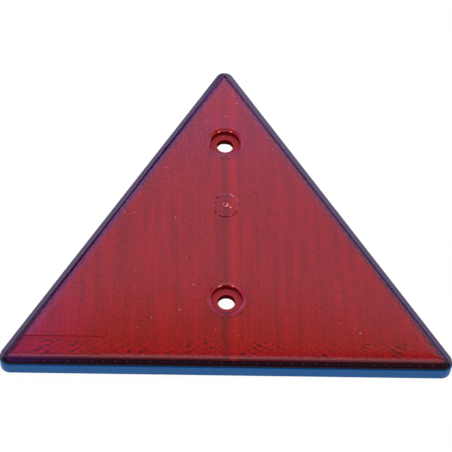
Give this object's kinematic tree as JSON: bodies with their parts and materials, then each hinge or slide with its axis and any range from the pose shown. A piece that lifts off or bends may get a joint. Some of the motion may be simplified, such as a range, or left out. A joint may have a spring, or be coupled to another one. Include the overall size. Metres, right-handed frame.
{
  "type": "triangular reflector",
  "caption": "Equilateral triangular rear reflector: a red prismatic lens with two counterbored screw bosses on a shallow blue back tray.",
  "frame": {"origin": "middle of the bounding box's underside; the reflector lies on its back", "axes": "+Z is the way the lens faces, +Y runs from the bottom edge to the apex, +X runs along the bottom edge"},
  "size_m": [0.1582, 0.138, 0.0072],
  "materials": {
    "lens": "clear red acrylic, polished on the front, corner-cube prisms on the back",
    "tray": "blue moulded plastic with a soft shine"
  },
  "bodies": {
    "root": {"lens": "lens", "back_tray": "tray"}
  },
  "joints": []
}
